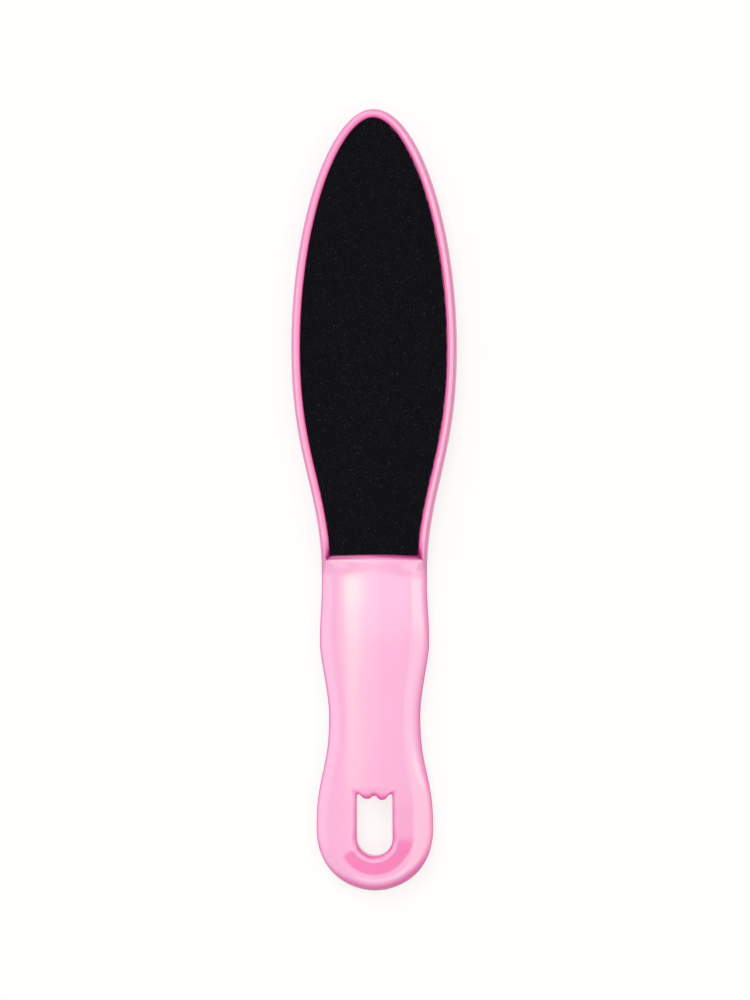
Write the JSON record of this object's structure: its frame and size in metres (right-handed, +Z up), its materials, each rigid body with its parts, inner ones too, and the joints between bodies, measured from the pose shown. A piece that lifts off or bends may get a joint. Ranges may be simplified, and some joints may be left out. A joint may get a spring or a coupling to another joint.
{
  "type": "foot file",
  "caption": "Flat moulded plastic foot file: a leaf-shaped head with an abrasive sheet let into each face, a waisted grip and a hanging slot.",
  "frame": {"origin": "on the surface that the file lies on, under the middle of its bounding box", "axes": "+Y along the file from the handle's end to the tip, +X across it, +Z up out of the front abrasive face, with the rear face on the surface"},
  "size_m": [0.054, 0.255, 0.008],
  "materials": {
    "pink_plastic": "gloss",
    "adhesive": "satin",
    "backing_cloth": "matte",
    "coarse_grit": "matte",
    "fine_grit": "matte"
  },
  "bodies": {
    "root": {"paddle_body": "pink_plastic", "front_adhesive_film": "adhesive", "front_backing_cloth": "backing_cloth", "front_grit_coat": "coarse_grit", "rear_adhesive_film": "adhesive", "rear_backing_cloth": "backing_cloth", "rear_grit_coat": "fine_grit"}
  },
  "joints": []
}
